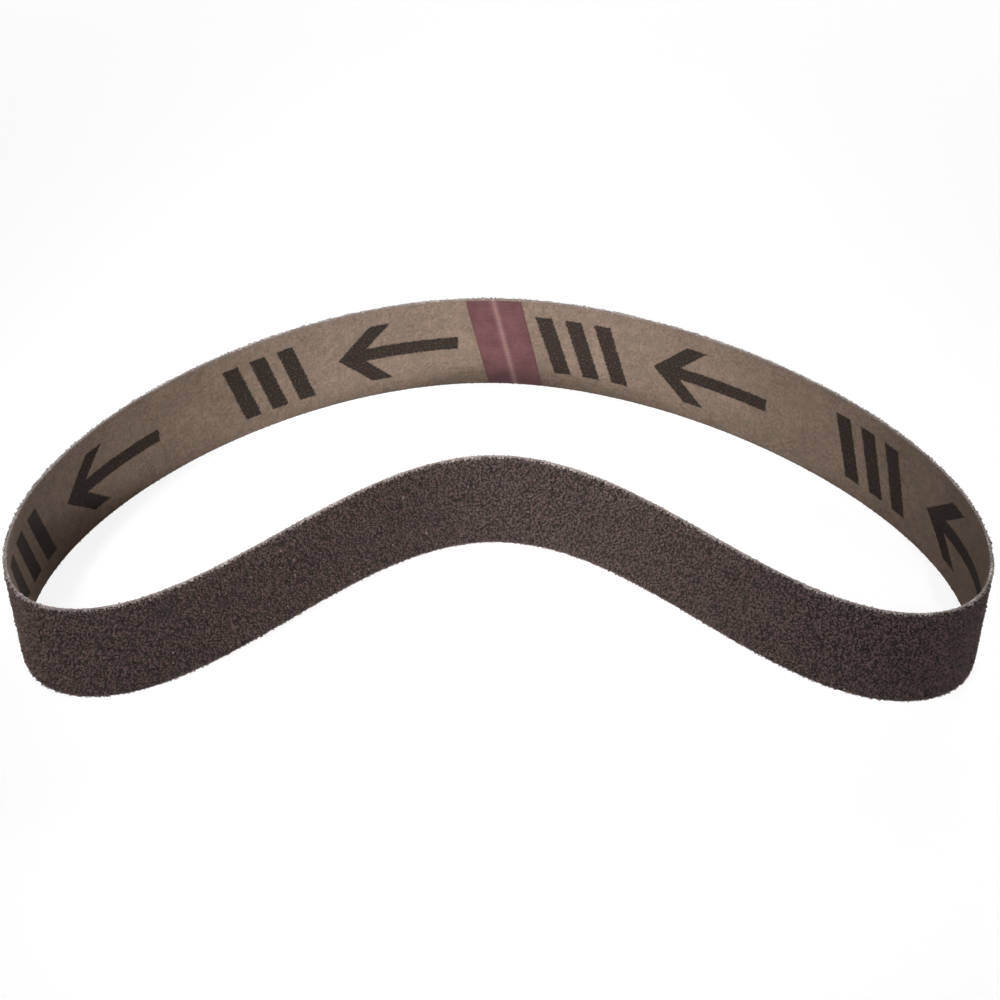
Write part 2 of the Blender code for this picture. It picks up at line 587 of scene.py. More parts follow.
def mottle_group() -> bpy.types.NodeTree:
    """Writes patches at two sizes, such as uneven resin or dye, as one factor from 0 to 1.

    Returns:
        The node group.
    """
    least, most = 0.28, 0.72
    write = GroupWriter("mottle", {"Place": "Vector", "Patch Scale": "Float", "Speck Scale": "Float",
                                   "Speck Share": "Float"}, ["Factor"])
    sheet = write.sheet
    patches = sheet.noise(write.inputs["Place"], write.inputs["Patch Scale"], detail=3.0)
    specks = sheet.noise(write.inputs["Place"], write.inputs["Speck Scale"], roughness=0.6)
    share = write.inputs["Speck Share"]
    patch_part = sheet.maths("MULTIPLY", patches, sheet.maths("SUBTRACT", 1.0, share))
    both = sheet.maths("ADD", patch_part, sheet.maths("MULTIPLY", specks, share))
    write.give("Factor", sheet.fade(both, least, most))
    return write.tree


def twill_group() -> bpy.types.NodeTree:
    """Writes the height of the yarns of a two-over-one twill.

    Returns:
        The node group.
    """
    wander_scale, repeat, top_share, rounding_guard, fall = 0.9, 3.0, 0.6, 0.1, 1.9
    write = GroupWriter("twill_weave", {"Place": "Vector", "Warp Pitch": "Float", "Weft Pitch": "Float",
                                        "Fray": "Float"}, ["Height"])
    sheet = write.sheet
    wander = sheet.noise(write.inputs["Place"], wander_scale)
    shift = sheet.maths("MULTIPLY", sheet.maths("SUBTRACT", wander, 0.5), write.inputs["Fray"])
    axes = sheet.add("ShaderNodeSeparateXYZ", {"Vector": write.inputs["Place"]}).outputs
    weft = sheet.maths("DIVIDE", sheet.maths("ADD", axes["X"], shift), write.inputs["Weft Pitch"])
    warp = sheet.maths("DIVIDE", sheet.maths("ADD", axes["Z"], shift), write.inputs["Warp Pitch"])
    steps = sheet.maths("ADD", sheet.maths("FLOOR", weft), sheet.maths("FLOOR", warp))
    guarded = sheet.maths("ADD", steps, rounding_guard)
    phase = sheet.maths("FRACT", sheet.maths("DIVIDE", guarded, repeat))
    warp_on_top = sheet.maths("LESS_THAN", phase, top_share)
    weft_on_top = sheet.maths("SUBTRACT", 1.0, warp_on_top)
    heights = []
    for yarn, on_top in ((warp, warp_on_top), (weft, weft_on_top)):
        across = sheet.maths("ABSOLUTE", sheet.maths("SUBTRACT", sheet.maths("FRACT", yarn), 0.5))
        crown = sheet.maths("SQRT", sheet.maths("SUBTRACT", 1.0, sheet.maths("MULTIPLY", across, fall)))
        lift = sheet.maths("ADD", sheet.maths("MULTIPLY", on_top, 0.5), 0.5)
        heights.append(sheet.maths("MULTIPLY", crown, lift))
    write.give("Height", sheet.maths("MAXIMUM", *heights))
    return write.tree


def band_group() -> bpy.types.NodeTree:
    """Writes how far a place lies outside a slanted or pointed bar of ink, negative inside it.

    Returns:
        The node group.
    """
    names = ("Along", "Rise", "Middle", "Half Run", "Slope", "Folded", "Half Height")
    write = GroupWriter("printed_band", dict.fromkeys(names, "Float"), ["Distance"])
    sheet = write.sheet
    rise = write.inputs["Rise"]
    mirrored = sheet.maths("ABSOLUTE", rise)
    fold = sheet.maths("MULTIPLY", sheet.maths("SUBTRACT", mirrored, rise), write.inputs["Folded"])
    leaned = sheet.maths("MULTIPLY", sheet.maths("ADD", rise, fold), write.inputs["Slope"])
    shifted = sheet.maths("ADD", write.inputs["Along"], leaned)
    offset = sheet.maths("SUBTRACT", shifted, write.inputs["Middle"])
    beside = sheet.maths("SUBTRACT", sheet.maths("ABSOLUTE", offset), write.inputs["Half Run"])
    above = sheet.maths("SUBTRACT", mirrored, write.inputs["Half Height"])
    write.give("Distance", sheet.maths("MAXIMUM", beside, above))
    return write.tree


@dataclass(frozen=True)
class Effects:
    """The node groups that the finishes share, each built once."""

    mottle: bpy.types.NodeTree = field(default_factory=mottle_group)
    twill: bpy.types.NodeTree = field(default_factory=twill_group)
    band: bpy.types.NodeTree = field(default_factory=band_group)


class Finish:
    """A material that is being written: its node sheet, its shader and the values of the mesh."""

    def __init__(self, name: str, effects: Effects) -> None:
        """Makes the material with a plain Principled BSDF.

        Args:
            name: Name of the material.
            effects: The node groups that it may place.
        """
        self.effects = effects
        self.material = bpy.data.materials.new(name)
        self.material.use_nodes = True
        self.sheet = NodeSheet(self.material.node_tree)
        self.shader = self.material.node_tree.nodes["Principled BSDF"]
        self.place = self.sheet.add("ShaderNodeAttribute", attribute_name=PLACE).outputs["Vector"]
        self.tone = self.sheet.add("ShaderNodeAttribute", attribute_name=TONE).outputs["Fac"]

    def set(self, **values: Value) -> None:
        """Feeds the shader's inputs, whose names are written with _ for a space."""
        self.sheet.fill(self.shader, {key.replace("_", " "): value for key, value in values.items()})

    def bump(self, height: bpy.types.NodeSocket, depth: float, strength: float) -> None:
        """Gives the surface a relief, this many metres deep."""
        node = self.sheet.add("ShaderNodeBump", {"Height": height, "Distance": depth, "Strength": strength})
        self.set(Normal=node.outputs["Normal"])

    def mottle(self, patch: float, speck: float, share: float) -> bpy.types.NodeSocket:
        """Patches and specks, in bumps a millimetre, with this share of specks."""
        values = {"Place": self.place, "Patch Scale": patch, "Speck Scale": speck, "Speck Share": share}
        return self.sheet.group(self.effects.mottle, values).outputs["Factor"]

    def weave(self) -> bpy.types.NodeSocket:
        """The height of the cloth's yarns."""
        return self.sheet.group(self.effects.twill, {"Place": self.place, **TWILL}).outputs["Height"]


@dataclass(frozen=True)
class GrainFinish:
    """Broken brown abrasive grains under a thin coat of dark resin.

    Attributes:
        dark: Colour of the darkest grains.
        light: Colour of the lightest common grains.
        glint: Painted highlight: the pale colour that a few grains take to stand in for glints of light.
        glint_tone: Tones between which a grain goes over to that colour.
        mottling: How much the patches of resin darken and lighten a grain.
        rough: Roughness of the darkest and of the lightest grains.
    """

    dark: tuple[float, ...] = (0.0064, 0.0041, 0.0035, 1.0)
    light: tuple[float, ...] = (0.141, 0.089, 0.075, 1.0)
    glint: tuple[float, ...] = (0.27, 0.20, 0.175, 1.0)
    glint_tone: tuple[float, float] = (0.955, 0.985)
    mottling: tuple[float, float] = (-0.24, 0.16)
    rough: tuple[float, float] = (0.7, 0.48)

    def material(self, effects: Effects) -> bpy.types.Material:
        """Writes the material.

        Args:
            effects: The shared node groups.

        Returns:
            The material.
        """
        finish = Finish("brown_grit", effects)
        sheet = finish.sheet
        patches = finish.mottle(patch=2.8, speck=6.0, share=0.3)
        shade = sheet.maths("ADD", finish.tone, sheet.fade(patches, 0.0, 1.0, *self.mottling))
        colour = sheet.blend(shade, self.dark, self.light)
        # Grains of the top tone turn to the pale glint colour: painted highlight.
        colour = sheet.blend(sheet.fade(finish.tone, *self.glint_tone), colour, self.glint)
        finish.set(Base_Color=colour, Roughness=sheet.fade(finish.tone, 0.1, 0.9, *self.rough))
        finish.bump(sheet.noise(finish.place, scale=9.0, detail=3.0), depth=0.00003, strength=0.6)
        return finish.material


@dataclass(frozen=True)
class BedFinish:
    """The dark resin between the grains.

    Attributes:
        dark: Colour in the hollows.
        light: Colour on the humps.
    """

    dark: tuple[float, ...] = (0.007, 0.0045, 0.0036, 1.0)
    light: tuple[float, ...] = (0.021, 0.014, 0.0115, 1.0)

    def material(self, effects: Effects) -> bpy.types.Material:
        """Writes the material.

        Args:
            effects: The shared node groups.

        Returns:
            The material.
        """
        finish = Finish("resin_bed", effects)
        sheet = finish.sheet
        patches = finish.mottle(patch=0.5, speck=4.0, share=0.6)
        finish.set(Base_Color=sheet.blend(patches, self.dark, self.light),
                   Roughness=sheet.fade(patches, low=0.7, high=0.45))
        lumps = sheet.noise(finish.place, scale=5.0, detail=4.0, roughness=0.6)
        finish.bump(lumps, depth=0.00006, strength=0.8)
        return finish.material


class PrintedBand(NamedTuple):
    """One bar of the print, in millimetres from the start of the motif and from half the belt's width.

    Attributes:
        middle: Where its middle lies along the belt.
        half_run: Half its width along the belt.
        half_height: Half its height across the belt.
        slope: How far it moves back along the belt for each millimetre of height.
        folded: 1 where it moves back both upwards and downwards, as an arrow's head does.
    """

    middle: float
    half_run: float
    half_height: float
    slope: float = 0.0
    folded: float = 0.0


ARROW_SHAFT = PrintedBand(18.2, 12.2, 1.75)
ARROW_HEAD = PrintedBand(32.4, 2.5, 8.0, slope=1.0, folded=1.0)
SLANTED_BARS = tuple(PrintedBand(middle, 2.0, 8.0, slope=-0.3) for middle in (45.5, 52.5, 59.5))


@dataclass(frozen=True)
class ClothFinish:
    """Tan, resin-filled twill with dark running marks, and paler cut yarn at the slit edges.

    Attributes:
        resin: Colour of the filled weave in the hollows.
        yarn: Colour of the yarns' crowns.
        filler: Colour of the patches where the filling lies thicker.
        cut: Colour of the cut yarn at the slit edges.
        ink: Colour of the printed marks.
        ink_wander: How far the rim of the ink wanders, in millimetres.
        ink_rim: Half the width over which the ink ends, in millimetres.
        ink_cover: Least and greatest share of the cloth's colour that the ink hides.
        marks: Times that the print repeats round the belt.
        motif: The bars of one repeat.
    """

    resin: tuple[float, ...] = (0.168, 0.117, 0.087, 1.0)
    yarn: tuple[float, ...] = (0.342, 0.245, 0.187, 1.0)
    filler: tuple[float, ...] = (0.222, 0.174, 0.127, 1.0)
    cut: tuple[float, ...] = (0.25, 0.218, 0.207, 1.0)
    ink: tuple[float, ...] = (0.024, 0.0165, 0.013, 1.0)
    ink_wander: float = 0.17
    ink_rim: float = 0.2
    ink_cover: tuple[float, float] = (0.72, 0.98)
    marks: int = 7
    motif: tuple[PrintedBand, ...] = (ARROW_SHAFT, ARROW_HEAD, *SLANTED_BARS)

    def _print(self, finish: Finish, belt: Belt) -> bpy.types.NodeSocket:
        """Prints the marks, with the ragged rim that ink has on a weave.

        Args:
            finish: The material that is being written.
            belt: The belt that they run round.

        Returns:
            The mask of the ink.
        """
        sheet = finish.sheet
        period = belt.length / MM / self.marks
        axes = sheet.add("ShaderNodeSeparateXYZ", {"Vector": finish.place}).outputs
        along = sheet.maths("FLOORED_MODULO", axes["X"], period)
        rise = sheet.maths("SUBTRACT", axes["Z"], belt.width / MM / 2)
        nearest = None
        for band in self.motif:
            values = {"Along": along, "Rise": rise, "Middle": band.middle, "Half Run": band.half_run,
                      "Slope": band.slope, "Folded": band.folded, "Half Height": band.half_height}
            distance = sheet.group(finish.effects.band, values).outputs["Distance"]
            nearest = distance if nearest is None else sheet.maths("MINIMUM", nearest, distance)
        ragged = sheet.noise(finish.place, scale=1.5, detail=3.0, roughness=0.65)
        wander = sheet.fade(ragged, start=0.3, end=0.7, low=-self.ink_wander, high=self.ink_wander)
        rim = sheet.maths("ADD", nearest, wander)
        inside = sheet.maths("SUBTRACT", 1.0, sheet.fade(rim, -self.ink_rim, self.ink_rim))
        least, most = self.ink_cover
        worn = sheet.noise(finish.place, scale=1.9, roughness=0.7)
        cover = sheet.fade(worn, start=0.3, end=0.52, low=least, high=most)
        return sheet.maths("MULTIPLY", inside, cover)

    def material(self, effects: Effects, belt: Belt) -> bpy.types.Material:
        """Writes the material.

        Args:
            effects: The shared node groups.
            belt: The belt that the print runs round.

        Returns:
            The material.
        """
        finish = Finish("woven_cloth", effects)
        sheet = finish.sheet
        weave = finish.weave()
        patches = finish.mottle(patch=0.09, speck=2.4, share=0.42)
        specks = finish.mottle(patch=0.45, speck=1.3, share=0.62)
        crown = sheet.maths("MULTIPLY", weave, sheet.fade(patches, low=0.45))
        crown = sheet.maths("ADD", crown, sheet.fade(specks, low=-0.33, high=0.33))
        colour = sheet.blend(crown, self.resin, self.yarn)
        thick = sheet.fade(sheet.noise(finish.place, scale=0.28), start=0.42, end=0.7, high=0.6)
        colour = sheet.blend(thick, colour, self.filler)
        colour = sheet.blend(self._print(finish, belt), colour, self.ink)
        ends = finish.mottle(patch=0.8, speck=2.6, share=0.5)
        colour = sheet.blend(finish.tone, colour, sheet.blend(ends, self.resin, self.cut))
        finish.set(Base_Color=colour, Roughness=sheet.fade(patches, low=0.78, high=0.95),
                   Specular_IOR_Level=0.22, Sheen_Weight=0.06)
        filled = sheet.maths("ADD", weave, sheet.maths("MULTIPLY", patches, 0.8))
        finish.bump(filled, depth=0.00007, strength=0.55)
        return finish.material


@dataclass(frozen=True)
class CutYarnFinish:
    """Undyed yarn where the cloth was slit, with a breath of resin.

    Attributes:
        pale: Colour of the clean fibres.
        stained: Colour of the fibres that took up resin.
    """

    pale: tuple[float, ...] = (0.40, 0.35, 0.333, 1.0)
    stained: tuple[float, ...] = (0.080, 0.062, 0.058, 1.0)

    def material(self, effects: Effects) -> bpy.types.Material:
        """Writes the material.

        Args:
            effects: The shared node groups.

        Returns:
            The material.
        """
        finish = Finish("cut_yarn", effects)
        sheet = finish.sheet
        patches = finish.mottle(patch=0.3, speck=5.0, share=0.6)
        unfrayed = sheet.maths("SUBTRACT", 1.0, finish.tone)
        stain = sheet.maths("MULTIPLY", unfrayed, sheet.fade(patches, low=0.6))
        finish.set(Base_Color=sheet.blend(stain, self.pale, self.stained), Roughness=0.85,
                   Specular_IOR_Level=0.25, Sheen_Weight=0.15)
        finish.bump(sheet.noise(finish.place, scale=14.0), depth=0.00003, strength=0.7)
        return finish.material


@dataclass(frozen=True)
class TapeFinish:
    """Pinkish-red film, paler where it bridges the slit and where the cloth's yarns press into it.

    Attributes:
        film: Colour of the film over bare cloth.
        deep: Colour where glue has pooled.
        seam: Colour over the slit between the two ends.
    """

    film: tuple[float, ...] = (0.205, 0.088, 0.091, 1.0)
    deep: tuple[float, ...] = (0.105, 0.038, 0.043, 1.0)
    seam: tuple[float, ...] = (0.34, 0.205, 0.20, 1.0)

    def material(self, effects: Effects) -> bpy.types.Material:
        """Writes the material.

        Args:
            effects: The shared node groups.

        Returns:
            The material.
        """
        finish = Finish("film_tape", effects)
        sheet = finish.sheet
        weave = finish.weave()
        patches = finish.mottle(patch=0.22, speck=2.0, share=0.35)
        bare = sheet.maths("MULTIPLY", patches, sheet.fade(weave, low=0.6))
        colour = sheet.blend(bare, self.deep, self.film)
        colour = sheet.blend(finish.tone, colour, self.seam)
        finish.set(Base_Color=colour, Roughness=sheet.fade(patches, low=0.34, high=0.5), Coat_Weight=0.15)
        finish.bump(weave, depth=0.00002, strength=0.35)
        return finish.material


@dataclass
class ClothStrip:
    """The cloth backing: one strip with its two ends at the slanted seam.

    Attributes:
        belt: The belt that it is part of.
        columns: Sections along the strip.
        rows: Steps up its inner face.
        rounding: How far the section's corners are rounded.
        raggedness: How far the slit edges wander up and down.
        edge_band: Height over which the cut yarn's colour fades into the face.
        fold: Rows that the strip is folded into on its bake map.
        seed: Start of the random draws.
    """

    belt: Belt
    columns: int = 760
    rows: int = 34
    rounding: float = 0.00007
    raggedness: float = 0.00006
    edge_band: float = 0.00022
    fold: int = 3
    seed: int = 11

    def section(self) -> np.ndarray:
        """Lays out the section: up the outer face, over the upper edge, down the inner face and back.

        Returns:
            The closed section, as (corners, 2) of (out, up).
        """
        thick, wide, cut = self.belt.cloth, self.belt.width, self.rounding
        outer = [(thick, up) for up in np.linspace(cut, wide - cut, 6)]
        over = [(thick - cut, wide), (thick / 2, wide), (cut, wide)]
        inner = [(0.0, up) for up in np.linspace(wide - cut, cut, self.rows)]
        under = [(cut, 0.0), (thick / 2, 0.0), (thick - cut, 0.0)]
        return np.array(outer + over + inner + under)

    def build(self, effects: Effects) -> bpy.types.Object:
        """Builds the strip in place of the frame's cloth.

        Args:
            effects: The shared node groups.

        Returns:
            The strip.
        """
        deepest, highest = -1.0, 0.3
        rng = np.random.default_rng(self.seed)
        belt, section = self.belt, self.section()
        half = belt.seam_gap / 2
        relief = np.zeros((self.columns, len(section), 3))
        upper = section[:, 1] > belt.width - 2 * self.rounding
        lower = section[:, 1] < 2 * self.rounding
        wander = rng.uniform(deepest, highest, (self.columns, int(upper.sum())))
        relief[:, upper, 2] = wander * self.raggedness
        lift = rng.uniform(0.0, 1.0, (self.columns, int(lower.sum())))
        relief[:, lower, 2] = lift * self.raggedness
        from_edge = np.minimum(section[:, 1], belt.width - section[:, 1])
        tone = np.clip(1.0 - from_edge / self.edge_band, 0.0, 1.0)
        tone = np.broadcast_to(tone, (self.columns, len(section)))
        sweep = Sweep(half, belt.length - half, self.columns, self.fold)
        piece = build_piece("cloth_strip", belt, sweep.parts(belt, section, relief, tone),
                            ClothFinish().material(effects, belt))
        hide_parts("cloth_backing")
        return piece


@dataclass
class YarnEnds:
    """The cut ends of the weft along one slit edge: knobs, lumps over the coat's rim, and loose fibres.

    Attributes:
        belt: The belt that they are part of.
        edge: The slit edge.
        pitch: Distance between two yarn ends.
        knob: Mean size of a yarn end (along, out, up).
        lump: Mean size of a lump that hangs over the coat.
        lump_share: Share of the yarn ends that have such a lump.
        tuft: Yarn ends in a usual tuft.
        fibres: Fibres in a tuft.
        fibre_length: Shortest and longest fibre of a tuft.
        fibre_radius: Radius of a bundle of fibres at its root.
        whiskers: Long loose fibres along the whole edge.
        whisker_length: Shortest and longest of those.
        floor_gap: Least height over the floor.
        shapes: Different shapes of a knob.
        uneven: How far a knob's corners stray from round, as a share.
        seeds: Start of the random draws on each edge.
    """

    belt: Belt
    edge: SlitEdge
    pitch: float = 0.00053
    knob: tuple[float, float, float] = (0.00054, 0.00060, 0.00034)
    lump: tuple[float, float, float] = (0.00036, 0.00046, 0.00036)
    lump_share: float = 0.7
    tuft: float = 2.4
    fibres: int = 4
    fibre_length: tuple[float, float] = (0.00020, 0.00060)
    fibre_radius: float = 0.000028
    whiskers: int = 50
    whisker_length: tuple[float, float] = (0.0007, 0.0016)
    floor_gap: float = 0.00002
    shapes: int = 12
    uneven: float = 0.28
    seeds: tuple[tuple[SlitEdge, int], ...] = ((SlitEdge.UPPER, 23), (SlitEdge.LOWER, 29))

    def _knob_template(self, rng: np.random.Generator) -> Template:
        """Shapes a closed, uneven knob of rings of corners between two poles.

        Args:
            rng: Source of the draws.

        Returns:
            The knob, one unit across.
        """
        rings, sides = 3, 6
        points = [(0.0, 0.0, -0.5)]
        for ring in range(1, rings + 1):
            tilt = math.pi * ring / (rings + 1)
            for side in range(sides):
                turn = math.tau * side / sides
                girth = math.sin(tilt) / 2
                points.append((girth * math.cos(turn), girth * math.sin(turn), -math.cos(tilt) / 2))
        points.append((0.0, 0.0, 0.5))
        faces, layout = [], []
        last = len(points) - 1
        for side in range(sides):
            after = (side + 1) % sides
            left, right = side / sides, (side + 1) / sides
            for ring in range(rings + 1):
                low, high = ring / (rings + 1), (ring + 1) / (rings + 1)
                lower, upper = 1 + (ring - 1) * sides, 1 + ring * sides
                below = (0, 0) if ring == 0 else (lower + side, lower + after)
                above = (last, last) if ring == rings else (upper + side, upper + after)
                if ring > 0:
                    faces.append((below[0], below[1], above[1]))
                    layout.append(((left, low), (right, low), (right, high)))
                if ring < rings:
                    faces.append((below[0], above[1], above[0]))
                    layout.append(((left, low), (right, high), (left, high)))
        stretch = rng.uniform(1 - self.uneven, 1 + self.uneven, (len(points), 1))
        return Template(np.array(points) * stretch, np.array(faces), np.array(layout))

    def _roots(self, rng: np.random.Generator) -> tuple[np.ndarray, np.ndarray]:
        """Places the yarn ends, each under or over a warp yarn.

        Args:
            rng: Source of the draws.

        Returns:
            Their belt places, and how frayed each is, from 0 to 1.
        """
        mean_fray, tuft_fray, fray_spread = 0.62, 0.3, 0.28
        under, over, level_spread, frayed_rise = 0.30, 0.54, 0.14, 0.12
        jitter, least_inset, whole_inset = 0.2, 0.00002, 0.00010
        belt = self.belt
        count = int(belt.length / self.pitch)
        fray = mean_fray + tuft_fray * smooth_noise(rng, count, count / self.tuft)
        fray = np.clip(fray + rng.uniform(-fray_spread, fray_spread, count), 0.0, 1.0)
        along = (np.arange(count) + rng.uniform(-jitter, jitter, count)) * self.pitch + belt.seam_shift
        level = np.where(np.arange(count) % 3 == 0, under, over)
        level = level + rng.uniform(-level_spread, level_spread, count) + fray * frayed_rise
        inset = least_inset + (1.0 - fray) * whole_inset
        up = belt.width - inset if self.edge is SlitEdge.UPPER else inset
        roots = np.stack([along, level * belt.cloth, up], axis=-1)
        clear = np.abs(belt.from_seam(roots[:, 0], roots[:, 2])) > belt.seam_gap + self.knob[0] / 2
        return roots[clear], fray[clear]

    def _knobs(self, rng: np.random.Generator, places: np.ndarray, fray: np.ndarray,
               size: tuple[float, float, float], tilt: float) -> MeshParts:
        """Sets knobs at these places.

        Args:
            rng: Source of the draws.
            places: Belt places of their middles.
            fray: How frayed each is, which makes it paler and larger.
            size: Mean size of one.
            tilt: Spread of their turns about each direction.

        Returns:
            The knobs' parts.
        """
        smallest, largest, whole_size, frayed_growth, tone_spread = 0.75, 1.15, 0.8, 0.4, 0.2
        count = len(places)
        templates = [self._knob_template(rng) for _ in range(self.shapes)]
        growth = whole_size + frayed_growth * fray[:, None]
        sizes = np.array(size) * rng.uniform(smallest, largest, (count, 3)) * growth
        turns = turn_matrices(rng.normal(0.0, tilt, (count, 3)))
        tones = np.clip(fray + rng.uniform(-tone_spread, tone_spread, count), 0.0, 1.0)
        return scatter(templates, rng.integers(0, self.shapes, count), places, sizes, turns, tones)

    def _lumps(self, rng: np.random.Generator, roots: np.ndarray, fray: np.ndarray) -> MeshParts:
        """Hangs lumps from the most frayed roots over the coat's rim.

        Args:
            rng: Source of the draws.
            roots: Belt places of the yarn ends.
            fray: How frayed each is.

        Returns:
            The lumps' parts.
        """
        choice_spread, nearest, furthest, droop, tilt = 0.3, 0.00002, 0.00032, 0.00024, 0.7
        choice = fray + rng.uniform(-choice_spread, choice_spread, len(fray))
        chosen = choice > 1.0 - self.lump_share
        hung, frayed = roots[chosen].copy(), fray[chosen]
        count = len(hung)
        hung[:, 0] += rng.uniform(-0.5, 0.5, count) * self.pitch
        hung[:, 1] = self.belt.cloth + rng.uniform(nearest, furthest, count)
        hung[:, 2] -= self.edge.value * rng.uniform(0.0, droop, count)
        return self._knobs(rng, hung, frayed, self.lump, tilt)

    def _fibres(self, rng: np.random.Generator, roots: np.ndarray, length: tuple[float, float],
                spread: float) -> MeshParts:
        """Grows curved, tapering tubes of three sides, most of them combed out over the coat.

        Args:
            rng: Source of the draws.
            roots: Belt places that they grow from.
            length: Shortest and longest fibre.
            spread: How far they lean away from the mean way.

        Returns:
            The fibres' parts.
        """
        leans, lean_shares, rise = (-0.4, 0.9, 1.3), (0.2, 0.4, 0.4), 0.9
        curl_spread, droop, sunk_radii, taper = 0.45, 0.5, 3, (1.0, 0.75, 0.35)
        mostly_clean = (1.6, 1.0)
        count, sides = len(roots), 3
        way = rng.normal(0.0, 1.0, (count, 3)) * spread
        way[:, 1] += rng.choice(leans, count, p=lean_shares)
        way[:, 2] += self.edge.value * rng.uniform(0.0, rise, count)
        way /= np.linalg.norm(way, axis=1)[:, None]
        curl = rng.normal(0.0, curl_spread, (count, 3))
        curl[:, 2] -= droop
        reach = rng.uniform(*length, count)[:, None]
        start = roots - way * self.fibre_radius * sunk_radii
        radii = self.fibre_radius * np.array(taper)
        parts = np.linspace(0.0, 1.0, len(radii))[None, :, None]
        straight = start[:, None] + way[:, None] * reach[:, None] * parts
        lines = straight + (curl * reach)[:, None] * parts ** 2 / 2
        side_way = np.cross(way, rng.normal(0.0, 1.0, (count, 3)))
        side_way /= np.linalg.norm(side_way, axis=1)[:, None]
        other_way = np.cross(way, side_way)
        rings = []
        for side in range(sides):
            turn = math.tau * side / sides
            offset = side_way * math.cos(turn) + other_way * math.sin(turn)
            rings.append(lines + offset[:, None] * radii[None, :, None])
        return self._tubes(np.stack(rings, axis=2), rng.beta(*mostly_clean, count))

    @staticmethod
    def _tubes(spots: np.ndarray, tones: np.ndarray) -> MeshParts:
        """Closes tubes round rings of corners.

        Args:
            spots: Belt places of the corners, as (tubes, rings, sides, 3).
            tones: One tone for each tube.

        Returns:
            The tubes' parts.
        """
        wall, cap = 0.9, 0.92
        count, rings, sides = spots.shape[:3]
        one = np.arange(rings * sides).reshape(rings, sides)
        faces, layout = [], []
        for ring in range(rings - 1):
            for side in range(sides):
                after = (side + 1) % sides
                a, b, c, d = one[ring, side], one[ring, after], one[ring + 1, after], one[ring + 1, side]
                left, right = side / sides * wall, (side + 1) / sides * wall
                low, high = ring / (rings - 1), (ring + 1) / (rings - 1)
                faces += [(a, b, c), (a, c, d)]
                layout.append(((left, low), (right, low), (right, high)))
                layout.append(((left, low), (right, high), (left, high)))
        faces += [tuple(one[0, ::-1]), tuple(one[-1])]
        layout += [((cap, low), (1.0, low), (cap, high)) for low, high in ((0.0, 0.4), (0.5, 0.9))]
        template = Template(np.zeros((rings * sides, 3)), np.array(faces), np.array(layout))
        parts = scatter([template], np.zeros(count, int), np.zeros((count, 3)), np.ones((count, 3)),
                        np.broadcast_to(np.eye(3), (count, 3, 3)), tones)
        return parts._replace(spots=spots.reshape(-1, 3))

    def build(self, material: bpy.types.Material) -> list[bpy.types.Object]:
        """Builds the knobs and the fibres of this edge.

        Args:
            material: Finish of the cut yarn.

        Returns:
            The two pieces.
        """
        knob_tilt, strand_spread, whisker_spread = 0.35, 0.6, 0.8
        innermost, outermost = -0.4, 0.5
        rng = np.random.default_rng(dict(self.seeds)[self.edge])
        name = self.edge.name.lower()
        belt = self.belt
        roots, fray = self._roots(rng)
        ends = self._knobs(rng, roots, fray, self.knob, knob_tilt)
        lumps = self._lumps(rng, roots, fray)
        tufts = np.repeat(roots, self.fibres, axis=0)
        tufts[:, 0] += rng.uniform(-0.5, 0.5, len(tufts)) * self.pitch
        tufts[:, 1] += rng.uniform(innermost, outermost, len(tufts)) * belt.cloth
        short = self._fibres(rng, tufts, self.fibre_length, strand_spread)
        strays = roots[rng.integers(0, len(roots), self.whiskers)]
        long = self._fibres(rng, strays, self.whisker_length, whisker_spread)
        knobs = joined([ends, lumps], [(0.0, 0.49), (0.51, 1.0)])
        fuzz = joined([short, long], [(0.0, 0.96), (0.97, 1.0)])
        for parts in (knobs, fuzz):
            np.maximum(parts.spots[:, 2], self.floor_gap, out=parts.spots[:, 2])
        return [build_piece(f"{name}_yarn_ends", belt, knobs, material),
                build_piece(f"{name}_loose_fibres", belt, fuzz, material)]


class ClumpField:
    """A random height over the coat, of spread 1, by which grains crowd together or leave a pit."""

    def __init__(self, belt: Belt, rng: np.random.Generator, size: float, waves: int = 48) -> None:
        """Draws plane waves that close on themselves round the belt.

        Args:
            belt: The belt that the coat is on.
            rng: Source of the draws.
            size: Distance between two clumps.
            waves: Waves that are added up.
        """
        shortest, longest = 0.75, 1.5
        turn = rng.uniform(0.0, math.tau, waves)
        number = 1.0 / (size * rng.uniform(shortest, longest, waves))
        self._along = np.round(np.cos(turn) * number * belt.length) / belt.length * math.tau
        self._up = np.sin(turn) * number * math.tau
        self._phase = rng.uniform(0.0, math.tau, waves)

    def at(self, along: np.ndarray, up: np.ndarray) -> np.ndarray:
        """Adds up the waves.

        Args:
            along: Distances round the belt.
            up: Heights over the floor.

        Returns:
            The field's height at these places.
        """
        total = np.zeros(np.broadcast(along, up).shape)
        for wave_along, wave_up, phase in zip(self._along, self._up, self._phase):
            total += np.cos(wave_along * along + wave_up * up + phase)
        return total * math.sqrt(2.0 / len(self._phase))


